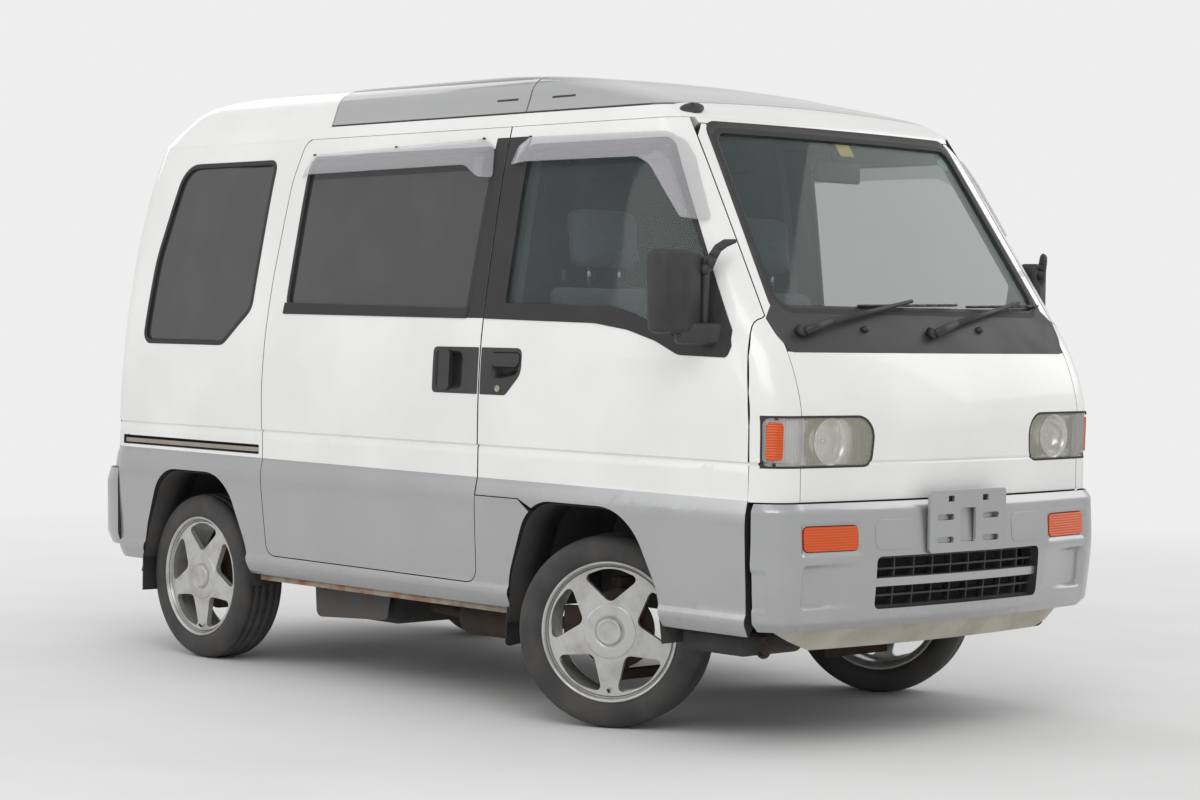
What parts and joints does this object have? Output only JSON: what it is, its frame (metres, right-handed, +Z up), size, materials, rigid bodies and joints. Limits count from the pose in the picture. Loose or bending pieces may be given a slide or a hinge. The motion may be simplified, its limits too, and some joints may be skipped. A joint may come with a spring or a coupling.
{
  "type": "kei class microvan",
  "caption": "One-box microvan in white over silver with a glass roof, sliding side doors, hinged front doors, a lifting tailgate, spoked wheels and steered front wheels.",
  "frame": {"origin": "centre of the bounding box's underside, on the ground between the wheels", "axes": "+Z up, -Y towards the nose, -X towards the van's right side"},
  "size_m": [1.6574, 3.2945, 1.852],
  "materials": {
    "paint_white": "gloss",
    "paint_two_tone": "gloss white above a silver lower band",
    "paint_silver": "satin metallic",
    "clear_glass": "clear, faint green",
    "dark_glass": "dark tint",
    "roof_glass": "grey gloss",
    "lamp_glass": "fluted, slightly hazed",
    "amber_lens": "gloss",
    "red_lens": "gloss",
    "black_plastic": "grained",
    "bracket_grey": "satin",
    "valance_beige": "satin, stained",
    "tyre_rubber": "matt",
    "alloy": "satin, brake dust in the corners",
    "chassis_iron": "rough, rusted",
    "engine_iron": "rough",
    "underbody": "matt sealer",
    "seat_cloth": "woven",
    "interior_trim": "grained"
  },
  "bodies": {
    "root": {"floor_pan": "underbody", "wheel_housings": "underbody", "chassis_rails": "underbody", "mud_flaps": "black_plastic", "side_panel_right": "paint_two_tone", "side_panel_left": "paint_two_tone", "door_pillars": "interior_trim", "front_corner_right": "paint_white", "front_corner_left": "paint_white", "front_panel": "paint_white", "windshield": "clear_glass", "roof_panel": "paint_white", "roof_glass_front": "roof_glass", "roof_glass_rear": "roof_glass", "sliding_door_right": "paint_two_tone", "sliding_door_left": "paint_two_tone", "side_glass": "dark_glass", "front_bumper": "paint_silver", "plate_bracket": "bracket_grey", "grille": "black_plastic", "front_indicators": "amber_lens", "headlamps": "lamp_glass", "front_valance": "valance_beige", "rear_bumper": "paint_silver", "tail_lamps": "red_lens", "front_suspension": "chassis_iron", "rear_axle": "chassis_iron", "engine": "engine_iron", "seats": "seat_cloth", "seat_frames": "interior_trim", "dashboard": "interior_trim"},
    "door_right": {"front_door_right": "paint_two_tone", "front_door_glass_right": "clear_glass", "mirror_right": "black_plastic"},
    "door_left": {"front_door_left": "paint_two_tone", "front_door_glass_left": "clear_glass", "mirror_left": "black_plastic"},
    "tailgate_body": {"tailgate": "paint_two_tone", "tailgate_glass": "dark_glass"},
    "steering_wheel_body": {"steering_wheel": "black_plastic"},
    "knuckle_right_body": {"knuckle_right": "chassis_iron"},
    "knuckle_left_body": {"knuckle_left": "chassis_iron"},
    "wheel_front_right": {"rim_front_right": "alloy", "tyre_front_right": "tyre_rubber"},
    "wheel_front_left": {"rim_front_left": "alloy", "tyre_front_left": "tyre_rubber"},
    "wheel_rear_right": {"rim_rear_right": "alloy", "tyre_rear_right": "tyre_rubber"},
    "wheel_rear_left": {"rim_rear_left": "alloy", "tyre_rear_left": "tyre_rubber"}
  },
  "joints": [
    {"name": "door_right_hinge", "type": "hinge", "parent": "root", "child": "door_right", "pos_m": [-0.68, -1.482, 0.8], "axis": [0, 0, 1], "range_deg": [0, 65]},
    {"name": "door_left_hinge", "type": "hinge", "parent": "root", "child": "door_left", "pos_m": [0.68, -1.482, 0.8], "axis": [0, 0, -1], "range_deg": [0, 65]},
    {"name": "tailgate_hinge", "type": "hinge", "parent": "root", "child": "tailgate_body", "pos_m": [0, 1.449, 1.664], "axis": [1, 0, 0], "range_deg": [0, 85]},
    {"name": "steer_right", "type": "hinge", "parent": "root", "child": "knuckle_right_body", "pos_m": [-0.548, -0.863, 0.266], "axis": [0, 0, 1], "range_deg": [-65, 5]},
    {"name": "steer_left", "type": "hinge", "parent": "root", "child": "knuckle_left_body", "pos_m": [0.548, -0.863, 0.266], "axis": [0, 0, 1], "range_deg": [-65, 5]},
    {"name": "steering_wheel_turn", "type": "hinge", "parent": "root", "child": "steering_wheel_body", "pos_m": [-0.33, -1.01, 1.04], "axis": [0, 0.6157, 0.788], "range_deg": [-1041, 81]},
    {"name": "wheel_front_right_spin", "type": "hinge", "parent": "knuckle_right_body", "child": "wheel_front_right", "pos_m": [-0.57398, -0.878, 0.266], "axis": [0.866, 0.5, 0], "continuous": true},
    {"name": "wheel_front_left_spin", "type": "hinge", "parent": "knuckle_left_body", "child": "wheel_front_left", "pos_m": [0.57398, -0.848, 0.266], "axis": [0.866, 0.5, 0], "continuous": true},
    {"name": "wheel_rear_right_spin", "type": "hinge", "parent": "root", "child": "wheel_rear_right", "pos_m": [-0.578, 1.022, 0.266], "axis": [1, 0, 0], "continuous": true},
    {"name": "wheel_rear_left_spin", "type": "hinge", "parent": "root", "child": "wheel_rear_left", "pos_m": [0.578, 1.022, 0.266], "axis": [1, 0, 0], "continuous": true}
  ],
  "couplings": [
    {"joint": "steer_left", "follows": "steer_right", "ratio": 1},
    {"joint": "steering_wheel_turn", "follows": "steer_right", "ratio": 16}
  ]
}
